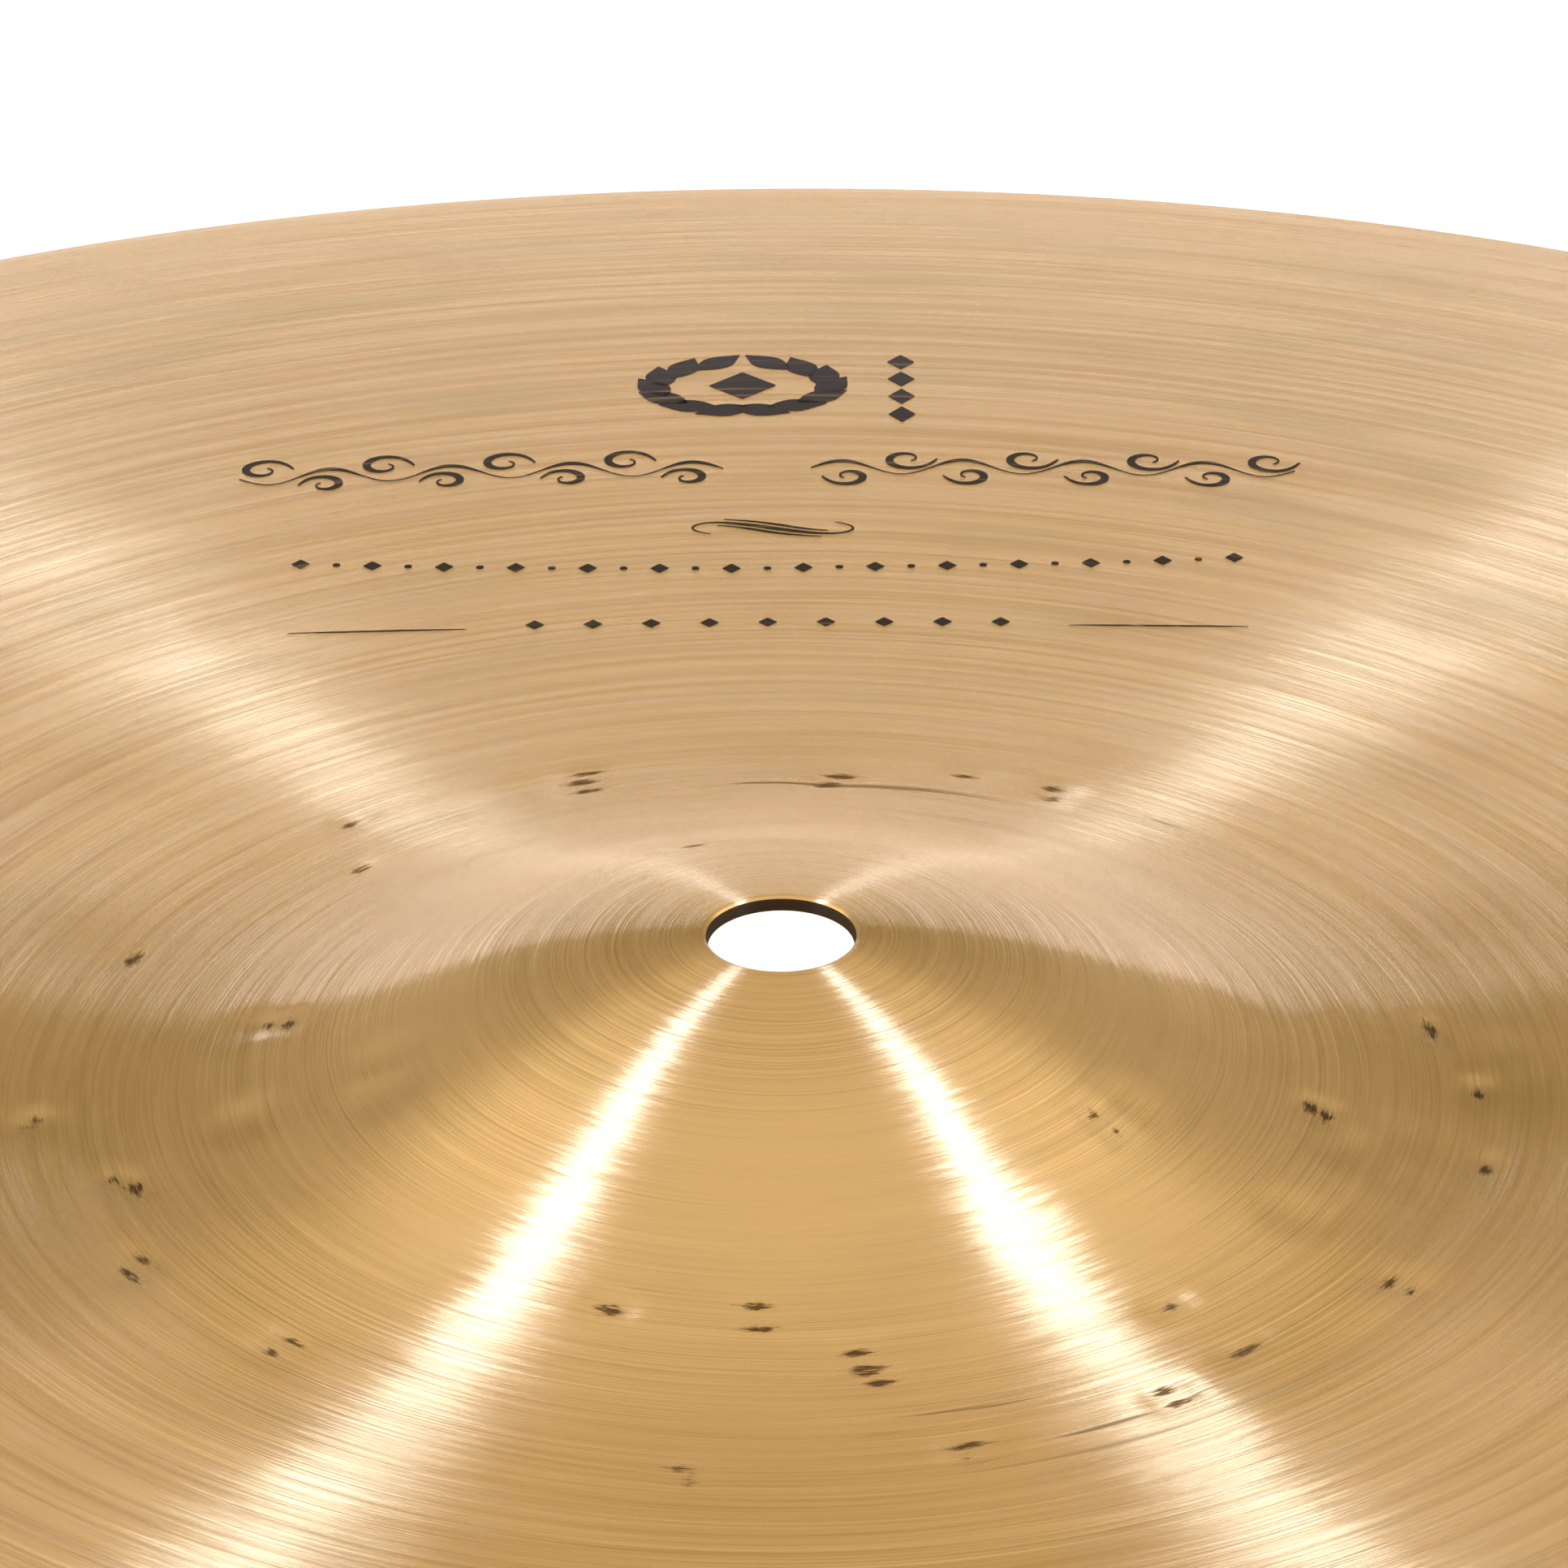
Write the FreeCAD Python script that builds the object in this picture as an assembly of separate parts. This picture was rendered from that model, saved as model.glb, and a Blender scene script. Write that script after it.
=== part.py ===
"""A 16 inch suspended cymbal: one plate of cast bronze, hammered to shape, lathed thin and drilled at its crown.

Millimetres, +Z up. The axis of the cymbal is Z, and its rim rests on the plane Z = 0.
The plate is turned from one half section. Going outwards, each face of it is a round crown, a straight flank, a
hollow foot and then the two arcs of the bow, each tangent to the last. The bell keeps one thickness, as it is left
when the bow is turned down, and the bow thins from there to the rim. Slopes are in degrees, falling outwards.
"""

import FreeCAD, Part
import math
import os

# The plate
cymbal_diameter = 406.4     # 16 inches over the rim
hole_diameter = 12.7        # half an inch, for the sleeve of a stand or for a strap

# The bell
bell_diameter = 122.0       # over the foot circle, where the bell runs out into the bow
crown_radius = 65.5         # the round top, centred on the axis
flank_slope = 25.0          # the steepest part of the bell
foot_blend_radius = 68.5    # the hollow between the flank and the bow

# The bow
bow_height = 16.5           # from the rim up to the foot circle
bow_slope = 2.6             # at the foot circle
bend_diameter = 220.0       # from here on the bow falls away faster
bend_drop = 2.35            # from the foot circle down to the bend

# The bronze
bell_thickness = 1.35
bend_thickness = 1.22
rim_thickness = 0.85
hole_chamfer = 0.30         # top edge of the hole, taken off with a countersink; its lower edge stays square
rim_chamfer = 0.15          # both edges of the rim, broken with a file


def point(radius, height):
    """A point of the half section, at that distance from the axis."""
    return FreeCAD.Vector(radius, 0, height)


def upwards(slope):
    """The unit vector that stands on the plate where it falls outwards at that slope."""
    angle = math.radians(slope)
    return point(math.sin(angle), math.cos(angle))


def arc_about(centre, radius, inner_slope, outer_slope):
    """An arc of the plate between two slopes. Its radius is negative where it is hollow, with its centre above."""
    slopes = (inner_slope, (inner_slope + outer_slope) / 2, outer_slope)
    return Part.ArcOfCircle(*[centre + upwards(slope) * radius for slope in slopes])


def arc_onwards(start, slope, end):
    """The arc that leaves start at that slope and reaches end, and the slope that it ends with."""
    chord = end - start
    chord_slope = math.degrees(math.atan2(-chord.z, chord.x))
    sagitta = chord.Length / 2 * math.tan(math.radians(chord_slope - slope) / 2)
    arc = Part.ArcOfCircle(start, (start + end) / 2 + upwards(chord_slope) * sagitta, end)
    return arc, 2 * chord_slope - slope


def bell_outline(hole_edge_radius, foot, depth):
    """Crown, flank and foot of the bell's top, or of the face that lies below it by that depth."""
    blend = foot_blend_radius + depth
    foot_centre = foot + upwards(bow_slope) * blend
    flank_end = foot_centre - upwards(flank_slope) * blend

    crown = crown_radius - depth
    crown_end_radius = crown * math.sin(math.radians(flank_slope))
    flank_drop = (flank_end.x - crown_end_radius) * math.tan(math.radians(flank_slope))
    flank_start = point(crown_end_radius, flank_end.z + flank_drop)
    crown_centre = flank_start - upwards(flank_slope) * crown
    hole_slope = math.degrees(math.asin(hole_edge_radius / crown))

    return [
        arc_about(crown_centre, crown, hole_slope, flank_slope),
        Part.LineSegment(flank_start, flank_end),
        arc_about(foot_centre, -blend, flank_slope, bow_slope),
    ]


def face_outline(hole_edge_radius, bell_depth, bend_depth, rim_depth):
    """The top of the plate from the hole to the rim, or the face below it by those depths."""
    foot_height = rim_thickness + bow_height
    foot = point(bell_diameter / 2, foot_height) - upwards(bow_slope) * bell_depth
    bend = point(bend_diameter / 2, foot_height - bend_drop - bend_depth)
    rim = point(cymbal_diameter / 2 - rim_chamfer, rim_thickness - rim_depth)
    inner_bow, bend_slope = arc_onwards(foot, bow_slope, bend)
    outer_bow, rim_slope = arc_onwards(bend, bend_slope, rim)
    return bell_outline(hole_edge_radius, foot, bell_depth) + [inner_bow, outer_bow]


def half_section():
    """The plate cut through its axis, on one side of it."""
    hole_radius, rim_radius = hole_diameter / 2, cymbal_diameter / 2
    top = face_outline(hole_radius + hole_chamfer, 0, 0, 0)
    under = face_outline(hole_radius, bell_thickness, bend_thickness, rim_thickness)
    hole_edge, rim_edge = top[0].StartPoint, top[-1].EndPoint
    hole_wall = Part.makePolygon([
        under[0].StartPoint,
        point(hole_radius, hole_edge.z - hole_chamfer),
        hole_edge,
    ])
    rim_wall = Part.makePolygon([
        under[-1].EndPoint,
        point(rim_radius, rim_chamfer),
        point(rim_radius, rim_thickness - rim_chamfer),
        rim_edge,
    ])
    edges = [curve.toShape() for curve in top + under] + hole_wall.Edges + rim_wall.Edges
    return Part.Face(Part.Wire(Part.__sortEdges__(edges)))


def cymbal():
    """The plate turned about its axis. It rests on its rim, at the height 0."""
    return half_section().revolve(FreeCAD.Vector(0, 0, 0), FreeCAD.Vector(0, 0, 1), 360)


def build():
    os.makedirs("parts", exist_ok=True)
    shape = cymbal()
    shape.exportStep("parts/cymbal.step")
    box = shape.optimalBoundingBox()
    print("cymbal: %.1f across, %.2f high, %.1f cm3" % (box.XLength, box.ZLength, shape.Volume / 1000))


build()
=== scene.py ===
import bpy
import bmesh
import math
import random
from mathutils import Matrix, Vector
from mathutils.kdtree import KDTree


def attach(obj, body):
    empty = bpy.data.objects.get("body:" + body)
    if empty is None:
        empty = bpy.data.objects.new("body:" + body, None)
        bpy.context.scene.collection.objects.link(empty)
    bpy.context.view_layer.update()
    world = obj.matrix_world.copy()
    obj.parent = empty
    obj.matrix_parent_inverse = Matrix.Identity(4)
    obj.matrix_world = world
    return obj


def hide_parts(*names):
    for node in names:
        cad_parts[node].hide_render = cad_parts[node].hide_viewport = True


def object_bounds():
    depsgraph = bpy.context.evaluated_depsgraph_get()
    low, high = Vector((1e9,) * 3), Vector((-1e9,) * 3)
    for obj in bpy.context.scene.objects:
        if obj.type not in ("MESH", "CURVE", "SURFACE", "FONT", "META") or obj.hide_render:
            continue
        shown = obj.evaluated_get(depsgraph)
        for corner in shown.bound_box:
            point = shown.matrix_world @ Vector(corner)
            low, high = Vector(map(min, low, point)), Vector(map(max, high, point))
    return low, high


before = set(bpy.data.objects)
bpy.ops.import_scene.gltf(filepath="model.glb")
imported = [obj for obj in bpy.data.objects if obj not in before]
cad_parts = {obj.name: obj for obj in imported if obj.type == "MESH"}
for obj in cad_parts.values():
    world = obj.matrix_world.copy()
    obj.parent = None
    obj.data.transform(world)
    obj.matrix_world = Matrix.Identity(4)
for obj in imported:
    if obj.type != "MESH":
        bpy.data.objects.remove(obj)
cadLow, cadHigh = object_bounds()
random.seed(16)

# lengths are in metres and angles in degrees, unless a note says otherwise
# angles round the cymbal: 0 is its right side, 90 its back, -90 its front


def deselectEverything():
    for thing in bpy.context.selected_objects:
        thing.select_set(False)


def pick(piece):
    deselectEverything()
    piece.select_set(True)
    bpy.context.view_layer.objects.active = piece


def flatRadius(place):
    return math.hypot(place.x, place.y)


def onRing(angle, radius):
    turn = math.radians(angle)
    return Vector((radius * math.cos(turn), radius * math.sin(turn), 0))


def sine(slope):
    return math.sin(math.radians(slope))


def startMesh(name):
    # a speck of a mesh, open and selected all over, to be shaped into a piece
    bpy.ops.mesh.primitive_plane_add(size=0.001, location=(0, 0, 0))
    piece = bpy.context.object
    piece.name = name
    pick(piece)
    bpy.ops.object.mode_set(mode="EDIT")
    bpy.ops.mesh.select_mode(type="VERT")
    bpy.ops.mesh.select_all(action="SELECT")
    return piece


plate = {
    "holeRadius": 0.00635,
    "holeRounding": 0.0005,
    "crownRadius": 0.0655,      # the round top of the bell
    "flankSlope": 25.0,         # the steepest part of the bell
    "footRadius": 0.061,        # where the bell runs out into the bow
    "footBlend": 0.0685,        # the hollow between them
    "bowSlope": 2.6,            # at the foot
    "fineRadius": 0.068,        # the mesh is fine up to here, for the hammer marks
    "bendRadius": 0.110,        # the bow falls away faster from here on
    "bendDrop": 0.00235,
    "bowHeight": 0.0165,        # from the rim up to the foot
    "rimRadius": 0.2032,
    "rimRounding": 0.00015,
    "bellThickness": 0.00135,
    "rimThickness": 0.00085,
    "segments": 360,            # one for each degree
    "crownRings": 16,
    "flankRings": 6,
    "footRings": 43,
    "fineRings": 6,
    "bowRings": 14,
    "outerRings": 28,
    "mergeDistance": 0.00001,
    "smoothAngle": 35,
}


def walkOut(fromSlope, toSlope, reach, steps):
    # extrudes the selected point outwards along one arc of the section
    low, high = sine(fromSlope), sine(toSlope)
    for step in range(steps):
        a = math.asin(low + (high - low) * step / steps)
        b = math.asin(low + (high - low) * (step + 1) / steps)
        across = reach / steps
        bpy.ops.mesh.extrude_region_move(
            TRANSFORM_OT_translate={"value": (across, 0, -across * math.tan((a + b) / 2))})


def makePlate():
    p = plate
    crownEnd = p["crownRadius"] * sine(p["flankSlope"])
    flankEnd = p["footRadius"] - p["footBlend"] * (sine(p["flankSlope"]) - sine(p["bowSlope"]))
    holeSlope = math.degrees(math.asin(p["holeRadius"] / p["crownRadius"]))
    bowReach = p["bendRadius"] - p["footRadius"]
    bendChord = math.degrees(math.atan(p["bendDrop"] / bowReach))
    bendSlope = 2 * bendChord - p["bowSlope"]
    fineShare = (p["fineRadius"] - p["footRadius"]) / bowReach
    fineSlope = math.degrees(math.asin(
        sine(p["bowSlope"]) + (sine(bendSlope) - sine(p["bowSlope"])) * fineShare))
    outerReach = p["rimRadius"] - p["bendRadius"]
    rimChord = math.degrees(math.atan((p["bowHeight"] - p["bendDrop"]) / outerReach))
    rimSlope = 2 * rimChord - bendSlope

    piece = startMesh("cymbal_plate")
    bpy.ops.mesh.merge(type="CENTER")
    bpy.ops.transform.translate(value=(p["holeRadius"], 0, 0))
    walkOut(holeSlope, p["flankSlope"], crownEnd - p["holeRadius"], p["crownRings"])
    walkOut(p["flankSlope"], p["flankSlope"], flankEnd - crownEnd, p["flankRings"])
    walkOut(p["flankSlope"], p["bowSlope"], p["footRadius"] - flankEnd, p["footRings"])
    walkOut(p["bowSlope"], fineSlope, p["fineRadius"] - p["footRadius"], p["fineRings"])
    walkOut(fineSlope, bendSlope, p["bendRadius"] - p["fineRadius"], p["bowRings"])
    walkOut(bendSlope, rimSlope, outerReach, p["outerRings"])
    bpy.ops.mesh.select_all(action="SELECT")
    bpy.ops.mesh.spin(steps=p["segments"], angle=2 * math.pi, center=(0, 0, 0), axis=(0, 0, 1))
    bpy.ops.mesh.select_all(action="SELECT")
    bpy.ops.mesh.remove_doubles(threshold=p["mergeDistance"])
    bpy.ops.mesh.normals_make_consistent(inside=False)
    mesh = bmesh.from_edit_mesh(piece.data)
    if sum(face.normal.z for face in mesh.faces) < 0:
        bpy.ops.mesh.flip_normals()
    lowest = min(point.co.z for point in mesh.verts)
    bpy.ops.transform.translate(value=(0, 0, p["rimThickness"] - lowest))
    bpy.ops.object.mode_set(mode="OBJECT")
    return piece


hammering = {
    "waveSize": 0.018,          # the slow unevenness left by the hammer
    "waveHeight": 0.00015,
    "fadeReach": 0.012,         # the waves die away towards the hole and the rim
    "dents": 90,                # soft blows all over the plate
    "dentRadii": (0.03, 0.19),
    "dentSize": 0.0065,
    "dentDepth": 0.00007,
    "bigDents": ((170, 0.0466), (-170, 0.0462), (-172, 0.0335), (-163, 0.0355),
                 (-15, 0.0490), (-29, 0.0487), (-27, 0.0330)),
    "bigSize": 0.0048,
    "bigDepth": 0.00014,
    "pitSize": 0.0026,
    "pitDepth": 0.00013,
}

# groups of dark pits: angle, radius, how many lie there one behind the other, and their length
pitGroups = (
    (108, 0.0575, 3, 0.0034), (85, 0.0545, 2, 0.0030), (75, 0.0580, 1, 0.0022), (66, 0.0575, 2, 0.0022),
    (108, 0.0250, 1, 0.0020), (127, 0.0610, 1, 0.0024), (134, 0.0530, 1, 0.0026), (156, 0.0610, 1, 0.0026),
    (170, 0.0435, 2, 0.0018), (-176, 0.0640, 2, 0.0020), (-165, 0.0575, 2, 0.0022), (-152, 0.0610, 2, 0.0022),
    (-135, 0.0590, 2, 0.0036), (-109, 0.0440, 1, 0.0028), (-93, 0.0430, 2, 0.0036), (-82, 0.0490, 3, 0.0042),
    (-76, 0.0610, 2, 0.0036), (-97, 0.0630, 2, 0.0032), (-58, 0.0600, 2, 0.0038), (-51, 0.0500, 1, 0.0026),
    (-48, 0.0580, 1, 0.0046), (-32, 0.0610, 2, 0.0022), (-14, 0.0610, 1, 0.0026), (-2, 0.0590, 1, 0.0024),
    (9, 0.0560, 1, 0.0032), (-35, 0.0325, 2, 0.0014), (-9, 0.0460, 2, 0.0018),
)

# arcs that the lathe tool has scored: first and last angle, radius, width of the scored band
toolArcs = (
    (71, 101, 0.0535, 0.0008), (-75, -47, 0.0620, 0.0030), (-82, -66, 0.0565, 0.0020),
    (52, 64, 0.0575, 0.0010), (-112, -100, 0.0415, 0.0010), (-140, -128, 0.0600, 0.0020),
)

pitScatter = {
    "turn": 1.3,                # how far a pit strays, along the ring and across it
    "stray": 0.0003,
    "rowStep": 0.0019,          # between the pits of one group
    "lengthShare": (0.7, 1.2),
    "width": (0.0005, 0.0009),
}

pits = []                       # angle, radius, length and width of each


def scatterPits():
    s = pitScatter
    for angle, radius, count, groupLength in pitGroups:
        for row in range(count):
            along = angle + random.uniform(-s["turn"], s["turn"])
            step = s["rowStep"] * (row - (count - 1) / 2)
            out = radius + step + random.uniform(-s["stray"], s["stray"])
            length = groupLength * random.uniform(*s["lengthShare"])
            pits.append((along, out, length, random.uniform(*s["width"])))


def press(piece, points, size, depth):
    # pushes the plate down with proportional editing, round the points of the mesh given
    bpy.ops.object.mode_set(mode="EDIT")
    bpy.ops.mesh.select_mode(type="VERT")
    bpy.ops.mesh.select_all(action="DESELECT")
    mesh = bmesh.from_edit_mesh(piece.data)
    mesh.verts.ensure_lookup_table()
    for index in points:
        mesh.verts[index].select = True
    mesh.select_flush_mode()
    bmesh.update_edit_mesh(piece.data, loop_triangles=False, destructive=False)
    bpy.ops.transform.translate(value=(0, 0, -depth), use_proportional_edit=True,
                                proportional_edit_falloff="SMOOTH", proportional_size=size)
    bpy.ops.object.mode_set(mode="OBJECT")


def hammerPlate(piece):
    h = hammering
    group = piece.vertex_groups.new(name="hammered")
    for point in piece.data.vertices:
        radius = flatRadius(point.co)
        inner = (radius - plate["holeRadius"]) / h["fadeReach"]
        outer = (plate["rimRadius"] - radius) / h["fadeReach"]
        group.add([point.index], max(0.0, min(1.0, inner, outer)), "REPLACE")
    clouds = bpy.data.textures.new("hammerWaves", "CLOUDS")
    clouds.noise_scale = h["waveSize"]
    clouds.noise_depth = 1
    waves = piece.modifiers.new("waves", "DISPLACE")
    waves.texture = clouds
    waves.texture_coords = "LOCAL"
    waves.direction = "Z"
    waves.strength = h["waveHeight"]
    waves.vertex_group = "hammered"
    bpy.ops.object.modifier_apply(modifier="waves")

    places = KDTree(len(piece.data.vertices))
    for point in piece.data.vertices:
        places.insert((point.co.x, point.co.y, 0), point.index)
    places.balance()

    def nearest(angle, radius):
        return places.find(onRing(angle, radius))[1]

    dents = []
    for _ in range(h["dents"]):
        dents.append(nearest(random.uniform(0, 360), random.uniform(*h["dentRadii"])))
    press(piece, dents, h["dentSize"], h["dentDepth"])
    press(piece, [nearest(*dent) for dent in h["bigDents"]], h["bigSize"], h["bigDepth"])
    deep = []
    for angle, radius, length, _ in pits:
        reach = math.degrees(length / radius) / 3    # three points along each pit
        deep += [nearest(angle + step * reach, radius) for step in (-1, 0, 1)]
    press(piece, deep, h["pitSize"], h["pitDepth"])


def thickenPlate(piece):
    # the underside: full thickness over the bell, thinning from its foot to the rim
    p = plate
    group = piece.vertex_groups.new(name="thickness")
    thin = p["rimThickness"] / p["bellThickness"]
    for point in piece.data.vertices:
        out = (flatRadius(point.co) - p["footRadius"]) / (p["rimRadius"] - p["footRadius"])
        group.add([point.index], 1 - (1 - thin) * max(0.0, out), "REPLACE")
    wall = piece.modifiers.new("wall", "SOLIDIFY")
    wall.thickness = p["bellThickness"]
    wall.offset = -1
    wall.use_even_offset = True
    wall.vertex_group = "thickness"
    bpy.ops.object.modifier_apply(modifier="wall")


edges = {
    # radius, the lowest height that is rounded, rounding, segments
    "hole": (plate["holeRadius"], 0.0322, plate["holeRounding"], 5),    # only its worn top edge
    "rim": (plate["rimRadius"], -1, plate["rimRounding"], 2),           # both its turned edges
}
edgeSlack = 0.0001              # how far an edge's ends may lie from its radius, or from level


def roundEdges(piece):
    bpy.ops.object.mode_set(mode="EDIT")
    bpy.ops.mesh.select_mode(type="EDGE")
    for radius, above, rounding, segments in edges.values():
        mesh = bmesh.from_edit_mesh(piece.data)
        for face in mesh.faces:
            face.select = False
        for edge in mesh.edges:
            a, b = edge.verts
            level = abs(a.co.z - b.co.z) < edgeSlack
            close = max(abs(flatRadius(a.co) - radius), abs(flatRadius(b.co) - radius)) < edgeSlack
            edge.select = level and close and a.co.z > above
        bmesh.update_edit_mesh(piece.data, loop_triangles=False, destructive=False)
        bpy.ops.mesh.bevel(offset=rounding, segments=segments, affect="EDGES")
    bpy.ops.object.mode_set(mode="OBJECT")


marks = {
    "radii": (0.018, 0.07),     # the pits and scored arcs lie between these
    "facingUp": 0.5,            # only the top is marked
    "tailStretch": 2.4,         # a pit's faint tail along the ring, and how dark it is
    "tailShade": 0.6,
    "acrossLimit": 3,           # past these, in widths and half lengths, a mark has faded out
    "pitLimit": 6,
    "arcLimit": 2,
}


def pitShade(angle, radius):
    m = marks
    shade = 0.0
    for pitAngle, pitRadius, length, width in pits:
        across = (radius - pitRadius) / width
        if abs(across) > m["acrossLimit"]:
            continue
        along = math.radians((angle - pitAngle + 180) % 360 - 180) * pitRadius / (length / 2)
        if abs(along) > m["pitLimit"]:
            continue
        core = math.exp(-along ** 2 - across ** 2)
        tail = m["tailShade"] * math.exp(-(along / m["tailStretch"]) ** 2 - across ** 2)
        shade = max(shade, core, tail)
    return shade


def arcShade(angle, radius):
    m = marks
    shade = 0.0
    for first, last, arcRadius, width in toolArcs:
        across = (radius - arcRadius) / width
        middle, half = (first + last) / 2, (last - first) / 2
        along = (angle - middle) / half
        if abs(across) < m["acrossLimit"] and abs(along) < m["arcLimit"]:
            shade = max(shade, math.exp(-across ** 2 - along ** 4))
    return shade


def paintMarks(piece):
    # two painted masks on the top: where pits have gone dark, and where the lathe tool has scored the plate
    pitted = piece.data.attributes.new("pitted", "FLOAT", "POINT")
    scored = piece.data.attributes.new("scored", "FLOAT", "POINT")
    first, last = marks["radii"]
    for point in piece.data.vertices:
        radius = flatRadius(point.co)
        if point.normal.z < marks["facingUp"] or not first < radius < last:
            continue
        angle = math.degrees(math.atan2(point.co.y, point.co.x))
        pitted.data[point.index].value = pitShade(angle, radius)
        scored.data[point.index].value = arcShade(angle, radius)


scatterPits()
cymbalPlate = makePlate()
print("plate turned:", len(cymbalPlate.data.polygons), "faces")
hammerPlate(cymbalPlate)
print("plate hammered:", len(pits), "pits")
thickenPlate(cymbalPlate)
roundEdges(cymbalPlate)
paintMarks(cymbalPlate)
pick(cymbalPlate)
bpy.ops.object.shade_smooth_by_angle(angle=math.radians(plate["smoothAngle"]))
print("plate has its walls:", len(cymbalPlate.data.polygons), "faces")


def addNode(tree, kind, inputs=None, **settings):
    node = tree.nodes.new(kind)
    for name, value in settings.items():
        setattr(node, name, value)
    for socket, value in (inputs or {}).items():
        entry = node.inputs[socket]
        if kind == "ShaderNodeMix":
            entry = next(one for one in node.inputs if one.name == socket and one.enabled)
        if isinstance(value, bpy.types.NodeSocket):
            tree.links.new(value, entry)
        else:
            entry.default_value = value
    return node


def calculate(tree, operation, first, second=0.0, third=0.0):
    inputs = {0: first, 1: second, 2: third}
    return addNode(tree, "ShaderNodeMath", inputs, operation=operation).outputs[0]


def times(tree, first, second):
    return calculate(tree, "MULTIPLY", first, second)


def vectors(tree, operation, inputs, output="Vector"):
    return addNode(tree, "ShaderNodeVectorMath", inputs, operation=operation).outputs[output]


def stretch(tree, value, fromLow, fromHigh, toLow=0.0, toHigh=1.0):
    # a soft step from one level to another
    return addNode(tree, "ShaderNodeMapRange", {
        "Value": value, "From Min": fromLow, "From Max": fromHigh, "To Min": toLow, "To Max": toHigh,
    }, interpolation_type="SMOOTHSTEP").outputs[0]


def mixColours(tree, share, first, second):
    mix = addNode(tree, "ShaderNodeMix", {"Factor": share, "A": first, "B": second}, data_type="RGBA")
    return next(one for one in mix.outputs if one.enabled)


def latheField(tree):
    # the flat place, the distance from the axis and the direction outwards
    place = addNode(tree, "ShaderNodeTexCoord").outputs["Object"]
    flat = vectors(tree, "MULTIPLY", {0: place, 1: (1, 1, 0)})
    radius = vectors(tree, "LENGTH", {0: flat}, "Value")
    outward = vectors(tree, "NORMALIZE", {0: flat})
    return flat, radius, outward


def rings(tree, field, along, across, detail, coarse=0.6):
    # noise drawn out along the lathe's rings: along and across are its sizes
    flat, radius, _ = field
    stretched = vectors(tree, "SCALE", {0: flat, "Scale": 1 / along})
    outwards = addNode(tree, "ShaderNodeCombineXYZ", {2: times(tree, radius, 1 / across)}).outputs[0]
    place = vectors(tree, "ADD", {0: stretched, 1: outwards})
    inputs = {"Vector": place, "Scale": 1.0, "Detail": detail, "Roughness": coarse}
    return addNode(tree, "ShaderNodeTexNoise", inputs).outputs[0]


def centred(tree, noise, amount):
    return times(tree, calculate(tree, "SUBTRACT", noise, 0.5), amount)


def tiltNormal(tree, outward, normal, lean, drift):
    # tips the surface by lean outwards, as the sides of fine grooves do, and by drift along the rings
    ring = vectors(tree, "CROSS_PRODUCT", {0: (0, 0, 1), 1: outward})
    leaning = vectors(tree, "SCALE", {0: outward, "Scale": lean})
    drifting = vectors(tree, "SCALE", {0: ring, "Scale": drift})
    tipped = vectors(tree, "ADD", {0: leaning, 1: drifting})
    tipped = vectors(tree, "ADD", {0: tipped, 1: normal})
    return vectors(tree, "NORMALIZE", {0: tipped})


bronze = {
    "colour": (0.88, 0.62, 0.33, 1),
    # painted shade: the bronze is made darker where the lathe's grooves lie, in place of their shading
    "grooveShadeColour": (0.70, 0.45, 0.20, 1),    # in the lathe's grooves
    "olive": (0.66, 0.50, 0.24, 1),         # old blotches, mostly towards the rim
    # painted reflection: the bow is made paler towards the rim, where it would mirror the bright horizon
    "paintedRimReflection": (0.88, 0.625, 0.345, 1),
    "pitColour": (0.15, 0.080, 0.026, 1),
    "boreColour": (0.045, 0.026, 0.012, 1),
    "roughness": 0.265,
    "anisotropy": 1.0,
    "lean": (2.0, 2.8),         # how steep the finest grooves are, on the bell and on the bow
    "fraying": 0.065,           # how far the rings wander, which frays the edges of the streaks
    "grooveDepth": 0.000021,
    "latheRelief": 1.05,        # how deep the fine grooves are, next to the wide ones
    "pitCover": 0.92,           # how fully a pit hides the bronze, and a scored line next to it
    "lineCover": 0.8,
    "boreDullness": 0.6,        # how much less metallic the bore is
    "addedRoughness": 0.25,     # in the pits and the bore
}

grain = {
    # size along the rings and across them, detail, and for some its coarseness
    "brushed": (0.03, 0.000009, 0),
    "frayed": (0.006, 0.0003, 2),
    "lathed": (0.040, 0.00040, 2),
    "wide": (0.100, 0.0011, 2, 0.5),
    "blotched": (0.03, 0.012, 2, 0.5),
    "toolLines": (0.02, 0.0009, 1),
    "ragged": (0.0016, 0.00018, 3, 0.7),
}

zones = {
    # inner radius, outer radius, and the strength inside and outside
    "wideGrooves": (0.042, 0.088, 0.08, 1.1),
    "fineGrooves": (0.034, 0.054, 0.10, 1.0),
    "lean": (0.055, 0.075, *bronze["lean"]),
    "olive": (0.08, 0.17, 0.2, 0.55),
    # the outer ring where the painted reflection is mixed in
    "paintedRimReflection": (0.150, 0.203, 0.0, 0.7),
    "bore": (plate["holeRadius"] + 0.00001, plate["holeRadius"] + 0.00004, 1.0, 0.0),
}

levels = {
    # the noise levels between which a mark fades in, and for some its faintest and its strongest
    "wideShade": (0.38, 0.66, 0.0, 0.5),
    "fineShade": (0.40, 0.75, 0.0, 0.28),
    "blotches": (0.50, 0.70),
    "toolLines": (0.58, 0.68),
    "pits": (0.24, 0.50),
}
raggedness = (1.6, -0.15)       # multiplies the ragged noise and shifts it, so that it breaks up the pits


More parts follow.
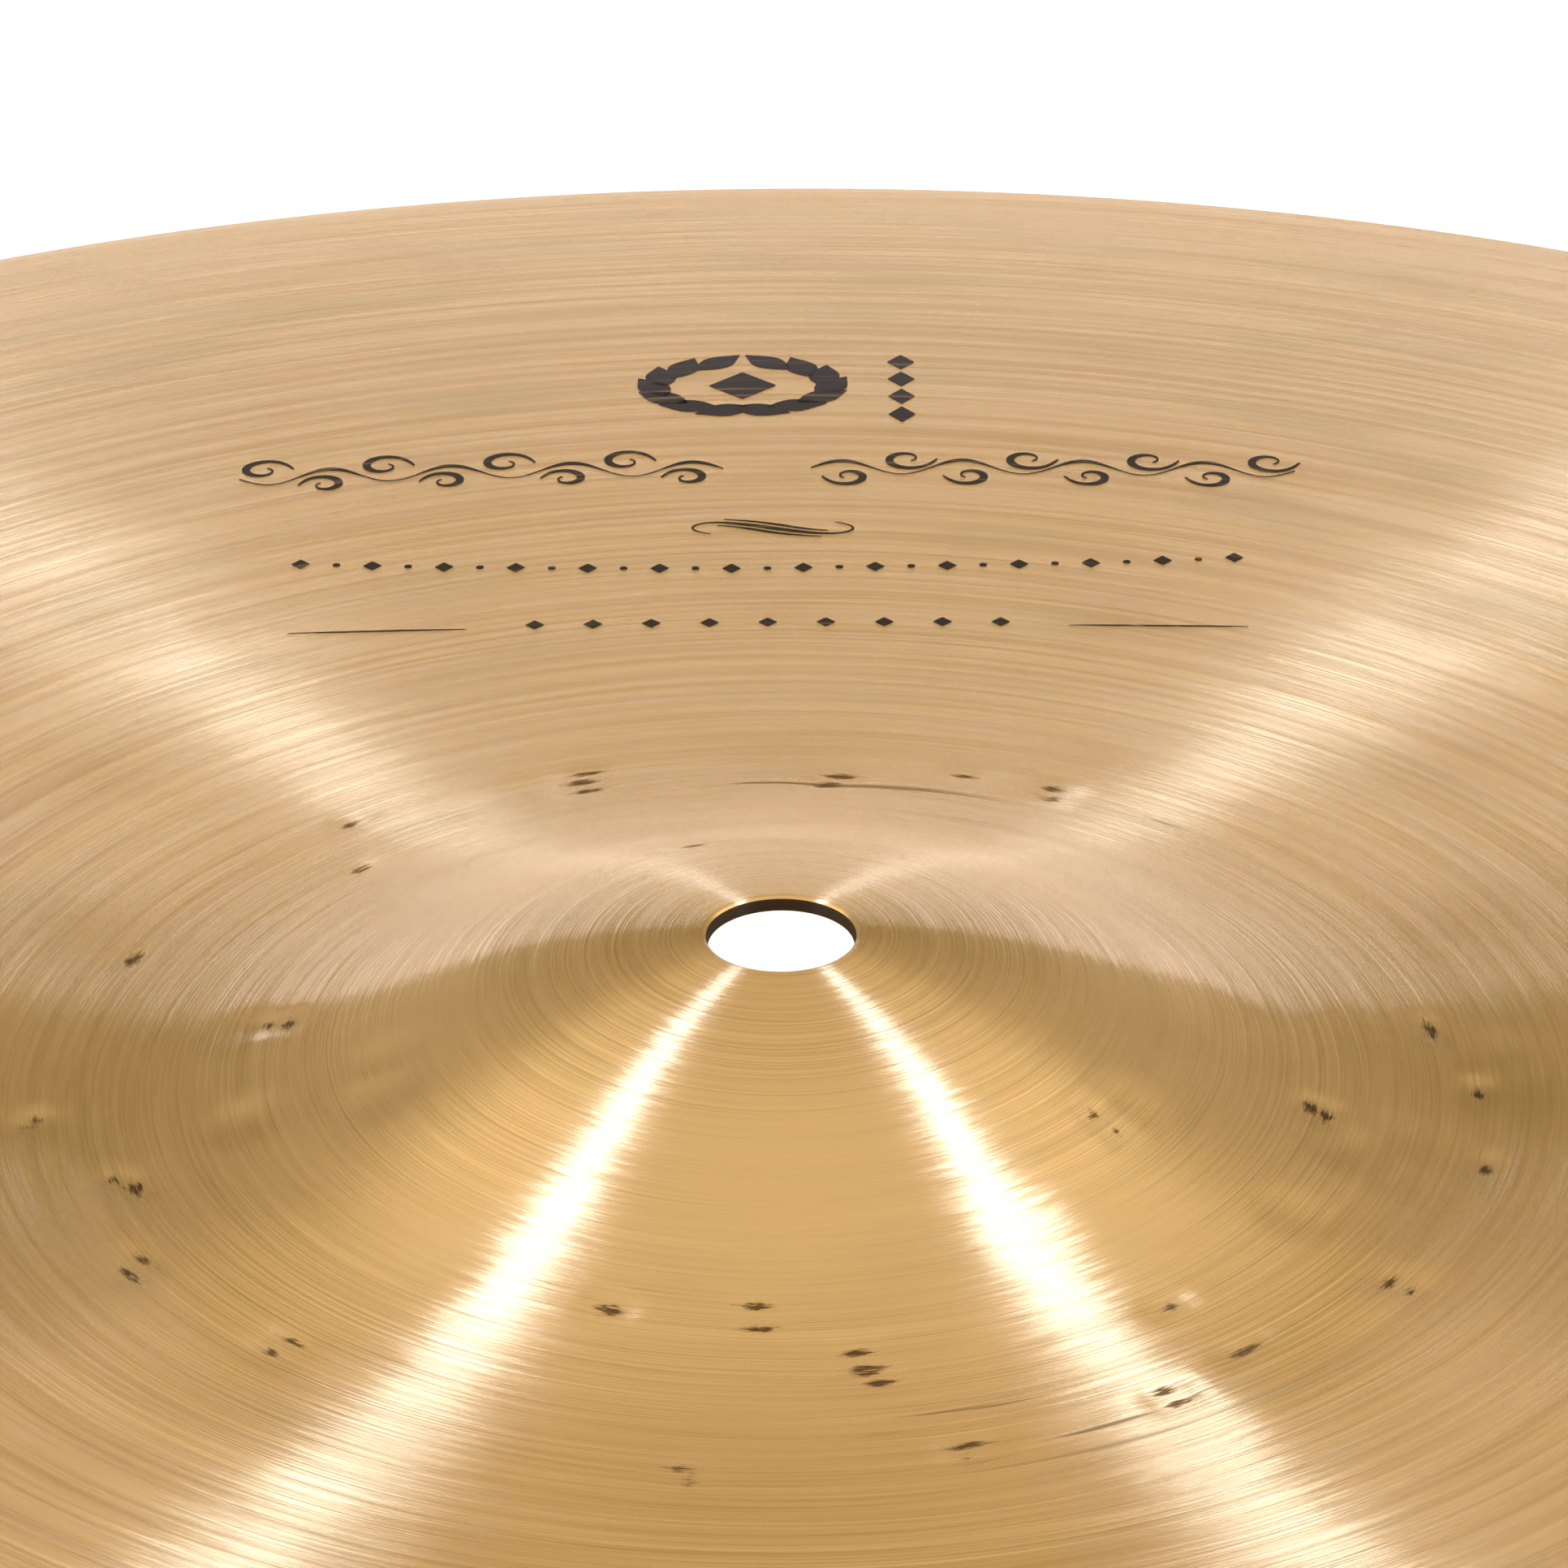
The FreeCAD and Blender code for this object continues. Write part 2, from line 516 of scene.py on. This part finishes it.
def makeBronze():
    b = bronze
    material = bpy.data.materials.new("lathedBronze")
    material.use_nodes = True
    tree = material.node_tree
    shader = tree.nodes["Principled BSDF"]
    field = latheField(tree)
    _, radius, outward = field
    noise = {name: rings(tree, field, *sizes) for name, sizes in grain.items()}
    zone = {name: stretch(tree, radius, *limits) for name, limits in zones.items()}

    fine = times(tree, times(tree, noise["lathed"], b["latheRelief"]), zone["fineGrooves"])
    height = calculate(tree, "ADD", fine, times(tree, noise["wide"], zone["wideGrooves"]))
    relief = {"Strength": 1.0, "Distance": b["grooveDepth"], "Height": height}
    bump = addNode(tree, "ShaderNodeBump", relief).outputs[0]
    lean = times(tree, centred(tree, noise["brushed"], 1.0), zone["lean"])
    drift = centred(tree, noise["frayed"], b["fraying"])
    tree.links.new(tiltNormal(tree, outward, bump, lean, drift), shader.inputs["Normal"])
    tree.links.new(outward, shader.inputs["Tangent"])

    # painted shade of the lathe's grooves, mixed into the colour along the same noise as their relief
    wideShade = times(tree, stretch(tree, noise["wide"], *levels["wideShade"]), zone["wideGrooves"])
    fineShade = times(tree, stretch(tree, noise["lathed"], *levels["fineShade"]), zone["fineGrooves"])
    paintedGrooveShade = calculate(tree, "ADD", wideShade, fineShade)
    colour = mixColours(tree, paintedGrooveShade, b["colour"], b["grooveShadeColour"])
    aged = times(tree, stretch(tree, noise["blotched"], *levels["blotches"]), zone["olive"])
    colour = mixColours(tree, aged, colour, b["olive"])
    # painted reflection: the outer bow is turned paler, as light from the horizon would make it
    colour = mixColours(tree, zone["paintedRimReflection"], colour, b["paintedRimReflection"])

    scored = addNode(tree, "ShaderNodeAttribute", attribute_name="scored").outputs["Fac"]
    pitted = addNode(tree, "ShaderNodeAttribute", attribute_name="pitted").outputs["Fac"]
    lines = stretch(tree, noise["toolLines"], *levels["toolLines"])
    ragged = calculate(tree, "MULTIPLY_ADD", noise["ragged"], *raggedness)
    dark = stretch(tree, times(tree, pitted, ragged), *levels["pits"])
    dark = calculate(tree, "MAXIMUM", dark, times(tree, times(tree, scored, lines), b["lineCover"]))
    colour = mixColours(tree, times(tree, dark, b["pitCover"]), colour, b["pitColour"])
    colour = mixColours(tree, zone["bore"], colour, b["boreColour"])
    tree.links.new(colour, shader.inputs["Base Color"])

    metal = calculate(tree, "SUBTRACT", 1.0, times(tree, zone["bore"], b["boreDullness"]))
    tree.links.new(metal, shader.inputs["Metallic"])
    dull = times(tree, calculate(tree, "MAXIMUM", dark, zone["bore"]), b["addedRoughness"])
    tree.links.new(calculate(tree, "ADD", b["roughness"], dull), shader.inputs["Roughness"])
    shader.inputs["Anisotropic"].default_value = b["anisotropy"]
    return material


cymbalPlate.data.materials.clear()
cymbalPlate.data.materials.append(makeBronze())
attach(cymbalPlate, "root")
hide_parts("cymbal")
print("bronze finished")


# the printed ornaments are thin films of ink, drawn flat, in millimetres, and then laid on the plate
ink = {
    "lift": 0.00003,            # over the plate
    "film": 0.00002,
    "middle": -1.0,             # the ornaments are centred a little to the left
    "sliceStep": 0.002,         # wide faces are cut this often, so that the film follows the plate
    "mergeDistance": 0.000002,
    "dropHeight": 0.1,          # the drawing is dropped onto the plate from here
    "nib": 0.0005,              # half the width of a stroke of width 1
    "strokeSmoothness": 6,
    "colour": (0.018, 0.009, 0.002, 1),
    "wornColour": (0.20, 0.12, 0.055, 1),
    "wearSizes": (0.03, 0.0006, 2),
    "wearLevels": (0.56, 0.74),
    "roughness": 0.5,
    "gloss": 0.15,
}


def blot(x, y, halfWidth, halfDepth, corners=4):
    # a filled lozenge, dot or oval in the mesh being drawn
    place = (x / 1000, y / 1000, 0)
    radius = halfWidth / 1000
    bpy.ops.mesh.primitive_circle_add(vertices=corners, radius=radius, fill_type="NGON", location=place)
    bpy.ops.transform.resize(value=(1, halfDepth / halfWidth, 1), center_override=place)


def drawStrokes(name, strokes):
    # pen strokes: each is a list of x, y and width, followed as a smooth line
    bpy.ops.curve.primitive_nurbs_path_add(location=(0, 0, 0))
    pen = bpy.context.object
    pen.data.splines.clear()
    nib = pen.data.splines.new("POLY")
    nib.points.add(1)
    nib.points[0].co = (-ink["nib"], 0, 0, 1)
    nib.points[1].co = (ink["nib"], 0, 0, 1)
    bpy.ops.curve.primitive_nurbs_path_add(location=(0, 0, 0))
    drawing = bpy.context.object
    drawing.name = name
    drawing.data.dimensions = "2D"
    drawing.data.splines.clear()
    for stroke in strokes:
        line = drawing.data.splines.new("NURBS")
        line.points.add(len(stroke) - 1)
        for point, (x, y, width) in zip(line.points, stroke):
            point.co = (x / 1000, y / 1000, 0, 1)
            point.radius = width
        line.order_u = min(4, len(stroke))
        line.use_endpoint_u = True
        line.resolution_u = ink["strokeSmoothness"]
    drawing.data.bevel_mode = "OBJECT"
    drawing.data.bevel_object = pen
    pick(drawing)
    bpy.ops.object.convert(target="MESH")
    drawing = bpy.context.object
    bpy.data.objects.remove(pen)
    return drawing


def drawPiece(name, blots, strokes):
    # blots and strokes joined in one piece; without blots, the strokes are the piece
    if not blots:
        return drawStrokes(name, strokes)
    piece = startMesh(name)
    bpy.ops.mesh.delete(type="VERT")
    for shape in blots:
        blot(*shape)
    bpy.ops.object.mode_set(mode="OBJECT")
    if strokes:
        other = drawStrokes("strokes", strokes)
        pick(piece)
        other.select_set(True)
        bpy.ops.object.join()
    return piece


def layInk(piece):
    # splits wide faces, turns all of them up, drops the drawing onto the plate and thickens the film
    pick(piece)
    bpy.ops.object.mode_set(mode="EDIT")
    bpy.ops.mesh.select_mode(type="FACE")
    bpy.ops.mesh.select_all(action="SELECT")
    bpy.ops.mesh.remove_doubles(threshold=ink["mergeDistance"])
    xs = [point.co.x for point in piece.data.vertices]
    ys = [point.co.y for point in piece.data.vertices]
    for axis, low, high in ((Vector((1, 0, 0)), min(xs), max(xs)), (Vector((0, 1, 0)), min(ys), max(ys))):
        place = low + ink["sliceStep"]
        while place < high:
            bpy.ops.mesh.select_all(action="SELECT")
            bpy.ops.mesh.bisect(plane_co=axis * place, plane_no=axis)
            place += ink["sliceStep"]
    bpy.ops.mesh.select_all(action="DESELECT")
    mesh = bmesh.from_edit_mesh(piece.data)
    for face in mesh.faces:
        face.select = face.normal.z < 0
    bmesh.update_edit_mesh(piece.data, loop_triangles=False, destructive=False)
    bpy.ops.mesh.flip_normals()
    bpy.ops.object.mode_set(mode="OBJECT")
    for point in piece.data.vertices:
        above = (point.co.x, point.co.y, ink["dropHeight"])
        landing = cymbalPlate.ray_cast(above, (0, 0, -1))[1]
        point.co.z = landing.z + ink["lift"]
    film = piece.modifiers.new("film", "SOLIDIFY")
    film.thickness = ink["film"]
    film.offset = 1
    bpy.ops.object.modifier_apply(modifier="film")
    bpy.ops.object.shade_flat()


wreath = {
    "centre": (-3.2, 139.8),
    "across": 8.2,
    "deep": 6.3,
    "leaves": 7,                # on each side
    "firstLeaf": -78,           # where round the oval the leaves start, and how far round they go
    "sweep": 152,
    "leafTurn": 62,             # from straight outwards
    "leafLength": 5.6,
    "leafWidth": 2.6,
    # the outline of a leaf: share of its length, share of its width
    "leafShape": ((0, 0.02), (0.2, 0.8), (0.45, 1.25), (0.7, 0.9), (0.88, 0.3), (1, 0.02)),
    "lozenge": (3.1, 3.4),
}


def makeWreath():
    w = wreath
    leaves = []
    for hand in (-1, 1):
        for leaf in range(w["leaves"]):
            turn = math.radians(w["firstLeaf"] + w["sweep"] * leaf / (w["leaves"] - 1))
            heading = turn + math.radians(w["leafTurn"])
            x = w["centre"][0] + hand * w["across"] * math.cos(turn)
            y = w["centre"][1] + w["deep"] * math.sin(turn)
            aheadX, aheadY = hand * math.cos(heading), math.sin(heading)
            stroke = []
            for share, width in w["leafShape"]:
                forward = share - 0.5
                leafX = x + aheadX * w["leafLength"] * forward
                leafY = y + aheadY * w["leafLength"] * forward
                stroke.append((leafX, leafY, w["leafWidth"] * width))
            leaves.append(stroke)
    return drawPiece("ink_wreath", [(*w["centre"], *w["lozenge"])], leaves)


sideMark = {"x": 11.4, "first": 132.4, "step": 4.5, "count": 4, "size": (1.25, 1.9)}


def makeSideMark():
    m = sideMark
    blots = [(m["x"], m["first"] + m["step"] * step, *m["size"]) for step in range(m["count"])]
    return drawPiece("ink_side_mark", blots, [])


scroll = {
    "y": 120.0,
    "start": 4.0,               # from the middle, to each side
    "wave": 11.0,
    "waves": 4,
    "sway": 1.7,
    "stemSteps": 8,             # points on each wave
    "stemWidth": (0.16, 0.60),  # at its thinnest, and what the upstrokes add
    "curl": 2.7,
    "curlStart": 0.30,          # share of a wave between the stem's crossing and the curl
    "curlGap": 0.9,
    "lowerShare": 0.85,         # how large the lower curls are next to the upper ones
    "curlTurns": 1.15,
    "curlWidth": 0.75,
    "curlSteps": 10,            # points on each turn
    "curlThin": 0.25,           # share of the width at both ends, and what the middle adds
    "curlSwell": 0.75,
    "curlFade": 1.3,            # the swelling is over this much sooner than the curl
    "tighten": 0.8,             # how far a curl winds in
}


def curl(x, y, radius, startTurn, hand):
    # a spiral that winds in from its outside, thin at both ends
    c = scroll
    points = []
    steps = int(c["curlSteps"] * c["curlTurns"])
    for step in range(steps + 1):
        share = step / steps
        size = radius * (1 - c["tighten"] * share)
        turn = math.radians(startTurn) + hand * 2 * math.pi * c["curlTurns"] * share
        swell = c["curlThin"] + c["curlSwell"] * math.sin(math.pi * min(1, share * c["curlFade"]))
        points.append((x + size * math.cos(turn), y + size * math.sin(turn), c["curlWidth"] * swell))
    return points


def makeScroll():
    c = scroll
    thin, swelling = c["stemWidth"]
    strokes = []
    for hand in (-1, 1):
        stem = []
        for step in range(c["waves"] * c["stemSteps"] + 1):
            share = step / c["stemSteps"]
            wave = math.sin(2 * math.pi * share)
            x = ink["middle"] + hand * (c["start"] + c["wave"] * share)
            stem.append((x, c["y"] + c["sway"] * wave, thin + swelling * max(0.0, wave) ** 2))
        strokes.append(stem)
        for half in range(c["waves"] * 2):
            up = 1 if half % 2 else -1
            x = c["start"] + c["wave"] * (half / 2 + c["curlStart"])
            y = c["y"] + up * (c["curl"] - c["sway"] + c["curlGap"])
            size = c["curl"] * (1.0 if half % 2 else c["lowerShare"])
            startTurn = 90 - up * 90 * hand + (0 if hand > 0 else 180)
            strokes.append(curl(ink["middle"] + hand * x, y, size, startTurn, -up * hand))
    return drawPiece("ink_scroll", [], strokes)


flourish = {
    "x": -0.5,
    "y": 106.8,
    # each stroke, as x, y and width, from the middle of the flourish
    "strokes": (
        ((-5.6, -1.2, 0.1), (-7.2, -0.6, 0.18), (-7.6, 0.6, 0.24), (-5.6, 1.5, 0.22), (-2.6, 0.9, 0.5),
         (0, 0.0, 0.62), (2.6, -0.9, 0.5), (5.6, -1.5, 0.22), (7.6, -0.6, 0.24), (7.2, 0.6, 0.18),
         (5.6, 1.2, 0.1)),
        ((-5.0, 0.6, 0.1), (-3.2, 0.4, 0.3), (-1.0, -0.6, 0.42), (1.6, -1.5, 0.3), (4.4, -1.9, 0.1)),
        ((-4.4, 1.9, 0.1), (-1.6, 1.5, 0.3), (1.0, 0.6, 0.42), (3.2, -0.4, 0.3), (5.0, -0.6, 0.1)),
    ),
}


def makeFlourish():
    f = flourish
    strokes = []
    for stroke in f["strokes"]:
        strokes.append([(f["x"] + x, f["y"] + y, width) for x, y, width in stroke])
    return drawPiece("ink_flourish", [], strokes)


border = {"y": 98.4, "rise": 0.0013, "reach": 42.0, "pairs": 13, "lozenge": (0.85, 0.95), "dot": 0.36}
dotCorners = 12

rules = {
    "y": 86.3,
    "from": 26.9,
    "to": 42.9,
    "width": 0.26,
    "taper": ((0, 0.2), (0.15, 1), (0.5, 1), (0.85, 1), (1, 0.2)),  # shares of the length and width
    "lozenges": 9,
    "step": 5.2,
    "lozenge": (0.85, 0.9),
    "lozengeRise": 0.7,         # over the rules
}


def makeBorder():
    b, r = border, rules
    blots = []
    for step in range(2 * b["pairs"] + 1):
        x = b["reach"] * (step / b["pairs"] - 1)
        y = b["y"] + b["rise"] * x * x
        shape = (b["dot"], b["dot"], dotCorners) if step % 2 else b["lozenge"]
        blots.append((ink["middle"] + x, y, *shape))
    for step in range(r["lozenges"]):
        x = r["step"] * (step - (r["lozenges"] - 1) / 2)
        blots.append((ink["middle"] + x, r["y"] + r["lozengeRise"], *r["lozenge"]))
    strokes = []
    for hand in (-1, 1):
        stroke = []
        for share, width in r["taper"]:
            x = ink["middle"] + hand * (r["from"] + (r["to"] - r["from"]) * share)
            stroke.append((x, r["y"], r["width"] * width))
        strokes.append(stroke)
    return drawPiece("ink_border", blots, strokes)


def makeInk():
    material = bpy.data.materials.new("printedInk")
    material.use_nodes = True
    tree = material.node_tree
    shader = tree.nodes["Principled BSDF"]
    lathed = rings(tree, latheField(tree), *ink["wearSizes"])
    worn = stretch(tree, lathed, *ink["wearLevels"])
    tree.links.new(mixColours(tree, worn, ink["colour"], ink["wornColour"]), shader.inputs["Base Color"])
    shader.inputs["Specular IOR Level"].default_value = ink["gloss"]
    relief = {"Strength": 1.0, "Distance": bronze["grooveDepth"], "Height": lathed}
    bump = addNode(tree, "ShaderNodeBump", relief).outputs[0]
    tree.links.new(bump, shader.inputs["Normal"])
    shader.inputs["Roughness"].default_value = ink["roughness"]
    return material


printedInk = makeInk()
for piece in (makeWreath(), makeSideMark(), makeScroll(), makeFlourish(), makeBorder()):
    layInk(piece)
    piece.data.materials.clear()
    piece.data.materials.append(printedInk)
    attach(piece, "root")
    print(piece.name, "laid on the plate:", len(piece.data.polygons), "faces")


view = {
    "lens": 408.5,              # millimetres
    "distance": 1.504,          # from the middle of the hole
    "elevation": 29.185,
    "tiltUp": 0.479,
    "panRight": 0.0126,
    "roll": 0.396,
    "sensor": 36,               # millimetres
    "nearest": 0.05,
    "farthest": 50,
}

holeTop = Vector((0, 0, cadHigh.z))


def placeCamera():
    v = view
    rise = math.radians(v["elevation"])
    place = holeTop + v["distance"] * Vector((0, -math.cos(rise), math.sin(rise)))
    bpy.ops.object.camera_add(location=place)
    camera = bpy.context.object
    camera.name = "camera"
    camera.rotation_mode = "ZYX"
    camera.rotation_euler = (math.radians(90 - v["elevation"] + v["tiltUp"]),
                             math.radians(-v["panRight"]), math.radians(-v["roll"]))
    camera.data.lens = v["lens"]
    camera.data.sensor_width = v["sensor"]
    camera.data.clip_start = v["nearest"]
    camera.data.clip_end = v["farthest"]
    bpy.context.scene.camera = camera


def towards(turn, rise):
    # turn is from straight behind the cymbal, to the right
    a, e = math.radians(turn), math.radians(rise)
    return Vector((math.sin(a) * math.cos(e), math.cos(a) * math.cos(e), math.sin(e)))


# each streak mirrors an arch of lamps, which stands in a plane of its own
arches = {-1: 58.8, 1: 59.4}    # where the streaks lie, from the sides of the cymbal towards its front

strips = {
    # from and to, as angles along the arch that start low at the side, distance, width, brightness, colour
    "low": (4, 36, 0.85, 0.092, 1.3, (0.64, 0.75, 1.15)),
    "middle": (36, 68, 0.85, 0.092, 1.2, (0.64, 0.75, 1.15)),
    "high": (68, 110, 0.85, 0.082, 5.7, (0.64, 0.84, 1.38)),
}

panels = {
    # place, width, height, turn about the vertical, brightness, colour
    "panelBack": ((0, 1.6, 0.10), 1.2, 0.19, 0, 2.85, (0.86, 0.95, 1.34)),
    "panelLeft": ((-1.4, 0.05, 0.135), 0.62, 0.26, 90, 0.75, (0.85, 0.80, 0.72)),
    "panelRight": ((1.4, 0.05, 0.135), 0.62, 0.26, -90, 0.75, (0.85, 0.80, 0.72)),
}


def alongArch(hand, angle):
    # the direction, seen from the hole, whose light the streak sends to the camera
    lie, rise = math.radians(arches[hand]), math.radians(view["elevation"])
    outward = Vector((hand * math.cos(lie), -math.sin(lie), 0))
    across = Vector((hand * math.sin(lie), math.cos(lie), 0))
    aside = math.cos(rise) * math.cos(lie)
    turn = math.radians(angle)
    upright = math.cos(turn) * outward + math.sin(turn) * Vector((0, 0, 1))
    return aside * across + math.sqrt(1 - aside ** 2) * upright


def shapeLamp(name, width, height, brightness, colour):
    # brightness is the same whatever the lamp's size
    lamp = bpy.context.object
    lamp.name = name
    lamp.data.shape = "RECTANGLE"
    lamp.data.size = width
    lamp.data.size_y = height
    lamp.data.energy = brightness * math.pi * width * height
    lamp.data.color = colour
    lamp.visible_camera = False
    return lamp


def placeStrip(name, start, end, distance, width, brightness, colour, hand):
    a = holeTop + distance * alongArch(hand, start)
    b = holeTop + distance * alongArch(hand, end)
    middle = (a + b) / 2
    bpy.ops.object.light_add(type="AREA", location=middle)
    lamp = shapeLamp(name, (b - a).length, width, brightness, colour)
    facing = (middle - holeTop).normalized()
    along = (b - a).normalized()
    along = (along - facing * along.dot(facing)).normalized()
    turn = lamp.matrix_world.to_3x3()
    turn.col[0], turn.col[1], turn.col[2] = along, facing.cross(along), facing
    lamp.rotation_euler = turn.to_euler()


def placePanel(name, place, width, height, turn, brightness, colour):
    # a low upright panel that faces the cymbal
    bpy.ops.object.light_add(type="AREA", location=place, rotation=(math.radians(-90), 0, math.radians(turn)))
    shapeLamp(name, width, height, brightness, colour)


walls = (0.85, 0.725, 0.52, 1)     # the room round the cymbal, apart from the patches below

wallPatches = {
    # turn to each side, rise, how far from there the patch ends and where its full colour begins, colour
    "flag": (0, 16, 25, 14, (0.27, 0.21, 0.08, 1)),
    "dimCorner": (43, 18, 30, 8, (0.48, 0.41, 0.28, 1)),
    "openSide": (95, 20, 40, 10, (1.60, 1.40, 1.00, 1)),
}


def makeWorld():
    world = bpy.data.worlds.new("studio")
    bpy.context.scene.world = world
    world.use_nodes = True
    tree = world.node_tree
    direction = addNode(tree, "ShaderNodeTexCoord").outputs["Generated"]
    split = addNode(tree, "ShaderNodeSeparateXYZ", {0: direction})
    aside = calculate(tree, "ABSOLUTE", split.outputs["X"])
    mirrored = {0: aside, 1: split.outputs["Y"], 2: split.outputs["Z"]}
    bothSides = addNode(tree, "ShaderNodeCombineXYZ", mirrored).outputs[0]
    colour = walls
    for turn, rise, soft, full, patch in wallPatches.values():
        near = vectors(tree, "DOT_PRODUCT", {0: bothSides, 1: towards(turn, rise)}, "Value")
        share = stretch(tree, near, math.cos(math.radians(soft)), math.cos(math.radians(full)))
        colour = mixColours(tree, share, colour, patch)
    tree.links.new(colour, tree.nodes["Background"].inputs["Color"])


ground = {
    "size": 12,
    "colour": (0.85, 0.85, 0.85, 1),
    "roughness": 0.8,
    "gloss": 0.2,
    "glow": 0.4,
    "cardRadius": 0.03,         # a white card lies under the hole, so that the hole reads white
    "cardPlace": (0, 0.058, 0.0004),
    "cardCorners": 48,
}


def glowFor(tree, strength, *rays):
    # a white glow that only these rays meet
    path = addNode(tree, "ShaderNodeLightPath")
    seen = path.outputs[rays[0]]
    for ray in rays[1:]:
        seen = calculate(tree, "MAXIMUM", seen, path.outputs[ray])
    shader = tree.nodes["Principled BSDF"]
    shader.inputs["Emission Color"].default_value = (1, 1, 1, 1)
    tree.links.new(times(tree, seen, strength), shader.inputs["Emission Strength"])


def makeFloor():
    g = ground
    bpy.ops.mesh.primitive_plane_add(size=g["size"], location=(0, 0, 0))
    floor = bpy.context.object
    floor.name = "floor"
    material = bpy.data.materials.new("paleFloor")
    material.use_nodes = True
    shader = material.node_tree.nodes["Principled BSDF"]
    shader.inputs["Base Color"].default_value = g["colour"]
    shader.inputs["Roughness"].default_value = g["roughness"]
    shader.inputs["Specular IOR Level"].default_value = g["gloss"]
    glowFor(material.node_tree, g["glow"], "Is Camera Ray", "Is Glossy Ray", "Is Transmission Ray")
    floor.data.materials.append(material)

    bpy.ops.mesh.primitive_circle_add(vertices=g["cardCorners"], radius=g["cardRadius"], fill_type="NGON",
                                      location=g["cardPlace"])
    card = bpy.context.object
    card.name = "whiteCard"
    paper = bpy.data.materials.new("whiteCard")
    paper.use_nodes = True
    glowFor(paper.node_tree, 1.0, "Is Camera Ray", "Is Transmission Ray")
    card.data.materials.append(paper)


placeCamera()
for name, strip in strips.items():
    placeStrip(name + "Left", *strip, hand=-1)
    placeStrip(name + "Right", *strip, hand=1)
for name, panel in panels.items():
    placePanel(name, *panel)
makeWorld()
makeFloor()
bpy.context.scene.view_settings.view_transform = "Standard"
print("camera, lamps and floor placed")
